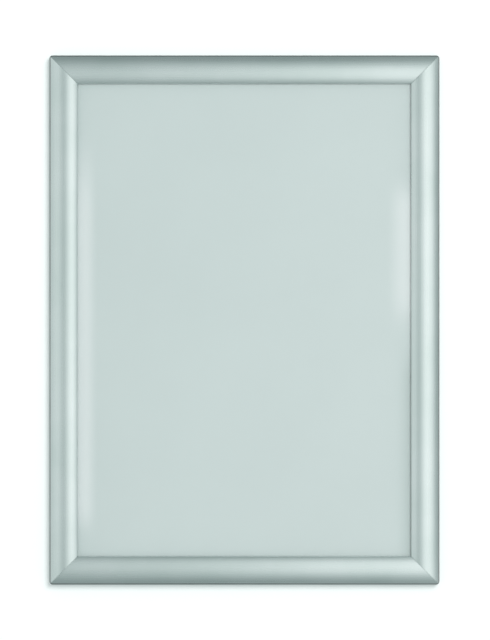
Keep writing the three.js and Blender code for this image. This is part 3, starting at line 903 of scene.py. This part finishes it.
room = {
    "plain": 0.56,  # light from all round
    "radius": 1.1,  # of the shell that the metal mirrors, in metres
    "subdivisions": 4,
    "sideReach": (0.3, 1.05),  # heights on the shell between which the change from left to right fades out
    "level": 1.06,
    "tint": 0.9,  # dark parts of the room are a little more green and blue
    "sides": [  # light from far left at 0 to far right at 1, with the two ends first
        (0.0, 0.55), (1.0, 0.32), (0.02, 0.63), (0.09, 0.69), (0.15, 0.665), (0.25, 0.55), (0.31, 0.495),
        (0.37, 0.495), (0.435, 0.56), (0.5, 0.67), (0.565, 0.79), (0.63, 0.90), (0.70, 0.965), (0.77, 0.975),
        (0.82, 0.955), (0.86, 0.91), (0.90, 0.835), (0.935, 0.74), (0.965, 0.57), (0.985, 0.42),
    ],
    "heights": [  # share of that light from straight below at 0 to straight above at 1
        (0.0, 0.40), (1.0, 0.38), (0.0175, 0.43), (0.065, 0.57), (0.145, 0.735), (0.25, 0.885), (0.37, 0.975),
        (0.5, 1.0), (0.63, 0.985), (0.75, 0.915), (0.855, 0.745), (0.935, 0.545), (0.9825, 0.385),
    ],
}

def tinted(value):
    return [value, value ** room["tint"], value ** room["tint"], 1.0]

def makeRoom():  # light from left to right, less of it overhead and below
    mesh = bpy.data.meshes.new("room_shell")
    ball = bmesh.new()
    bmesh.ops.create_icosphere(ball, subdivisions=room["subdivisions"], radius=room["radius"])
    ball.to_mesh(mesh)
    ball.free()
    shell = bpy.data.objects.new("room_shell", mesh)
    bpy.context.scene.collection.objects.link(shell)
    material = bpy.data.materials.new("room_light")
    material.use_nodes = True
    tree = material.node_tree
    place = addNode(tree, "ShaderNodeTexCoord")
    aim = addNode(tree, "ShaderNodeVectorMath", settings={"operation": "NORMALIZE"},
                  links={0: place.outputs["Object"]})
    level = addNode(tree, "ShaderNodeVectorMath", settings={"operation": "MULTIPLY"}, inputs={1: (1, 1, 0)},
                    links={0: place.outputs["Object"]})
    around = addNode(tree, "ShaderNodeVectorMath", settings={"operation": "NORMALIZE"},
                     links={0: level.outputs["Vector"]})
    height = addNode(tree, "ShaderNodeSeparateXYZ", links={0: aim.outputs["Vector"]}).outputs["Z"]
    bearing = addNode(tree, "ShaderNodeSeparateXYZ", links={0: around.outputs["Vector"]}).outputs["X"]
    steep = addNode(tree, "ShaderNodeMath", settings={"operation": "ABSOLUTE"}, links={0: height})
    fullBelow, noneAbove = room["sideReach"]
    reach = addNode(tree, "ShaderNodeMapRange", settings={"interpolation_type": "SMOOTHSTEP"},
                    inputs={"From Min": fullBelow, "From Max": noneAbove, "To Min": 1.0, "To Max": 0.0},
                    links={"Value": steep.outputs[0]})
    faded = addNode(tree, "ShaderNodeMath", settings={"operation": "MULTIPLY"},
                    links={0: bearing, 1: reach.outputs["Result"]})
    sideways = addNode(tree, "ShaderNodeMapRange", inputs={"From Min": -1.0, "From Max": 1.0},
                       links={"Value": faded.outputs[0]})
    sideLight = addNode(tree, "ShaderNodeValToRGB", links={"Fac": sideways.outputs["Result"]},
                        stops=[(at, tinted(value)) for at, value in room["sides"]])
    upward = addNode(tree, "ShaderNodeMapRange", inputs={"From Min": -1.0, "From Max": 1.0},
                     links={"Value": height})
    heightLight = addNode(tree, "ShaderNodeValToRGB", links={"Fac": upward.outputs["Result"]},
                          stops=[(at, tinted(value)) for at, value in room["heights"]])
    shaped = addNode(tree, "ShaderNodeMix", settings={"data_type": "RGBA", "blend_type": "MULTIPLY"},
                     inputs={0: 1.0}, links={6: sideLight.outputs["Color"], 7: heightLight.outputs["Color"]})
    glow = addNode(tree, "ShaderNodeEmission", inputs={"Strength": room["level"]},
                   links={"Color": shaped.outputs[2]})
    tree.links.new(glow.outputs["Emission"], tree.nodes["Material Output"].inputs["Surface"])
    mesh.materials.append(material)
    shell.visible_camera = False
    shell.visible_diffuse = False
    shell.visible_shadow = False

def makeWorld():
    world = bpy.data.worlds.new("room")
    bpy.context.scene.world = world
    world.use_nodes = True
    tree = world.node_tree
    path = addNode(tree, "ShaderNodeLightPath")
    mirrored = addNode(tree, "ShaderNodeMath", settings={"operation": "MAXIMUM"},
                       links={0: path.outputs["Is Glossy Ray"], 1: path.outputs["Is Transmission Ray"]})
    looking = addNode(tree, "ShaderNodeMath", settings={"operation": "MAXIMUM"},
                      links={0: path.outputs["Is Camera Ray"], 1: mirrored.outputs[0]})
    seen = addNode(tree, "ShaderNodeMix", settings={"data_type": "RGBA"},
                   inputs={6: grey(room["plain"]), 7: grey(1.0)}, links={0: looking.outputs[0]})
    tree.links.new(seen.outputs[2], tree.nodes["Background"].inputs["Color"])

makeRoom()
makeWorld()

lamps = {
    "key": {"from": (2.0, -9.2, 1.2), "size": 4.0, "power": 400.0, "onWall": "EXCLUDE"},
    # the lamp for the wall alone stands upper right, so the shadow falls lower left
    "wallKey": {"from": (3.5, -8.5, 3.9), "size": 5.2, "power": 512.0, "onWall": "INCLUDE"},
    "back": {"from": (-1.2, 2.2, 1.0), "size": 1.5, "power": 40.0},
}

for name, lamp in lamps.items():
    light = bpy.data.lights.new(name, "AREA")
    light.shape = "DISK"
    light.size = lamp["size"]
    light.energy = lamp["power"]
    lampObject = bpy.data.objects.new(name, light)
    bpy.context.scene.collection.objects.link(lampObject)
    lampObject.location = lamp["from"]
    lampObject.rotation_euler = (-Vector(lamp["from"])).to_track_quat("-Z", "Y").to_euler()
    lampObject.visible_glossy = False  # rails mirror the room, not the lamps
    lampObject.visible_transmission = False
    if "onWall" in lamp:
        lit = bpy.data.collections.new(name + "_lights")
        lit.objects.link(wall)
        lit.collection_objects[0].light_linking.link_state = lamp["onWall"]
        lampObject.light_linking.receiver_collection = lit
print("light made")

# Camera: straight on, with the frame where the photograph has it

view = {
    "distance": 5000.0, "edgeHeight": 3.0, "sensor": 36.0, "farthest": 100000.0,
    "outerPixels": 529.0, "middle": (244.4, 320.05), "imageWidth": 490, "imageHeight": 640,  # in pixels
}

def makeCamera():
    camera = bpy.data.cameras.new("camera")
    cameraObject = bpy.data.objects.new("camera", camera)
    bpy.context.scene.collection.objects.link(cameraObject)
    pixel = outerHeight / view["outerPixels"]  # mm at the outer edge of the frame
    seen = view["imageHeight"] * pixel
    camera.sensor_width = view["sensor"]
    camera.lens = camera.sensor_width * view["distance"] / seen
    shiftX = (view["imageWidth"] / 2 - view["middle"][0]) * pixel
    shiftZ = (view["middle"][1] - view["imageHeight"] / 2) * pixel
    cameraObject.location = (shiftX * mm, -(view["distance"] + view["edgeHeight"]) * mm, shiftZ * mm)
    cameraObject.rotation_euler = (math.pi / 2, 0, 0)
    camera.clip_end = view["farthest"] * mm
    bpy.context.scene.camera = cameraObject

makeCamera()
bpy.context.scene.view_settings.view_transform = "Standard"
print("camera set")
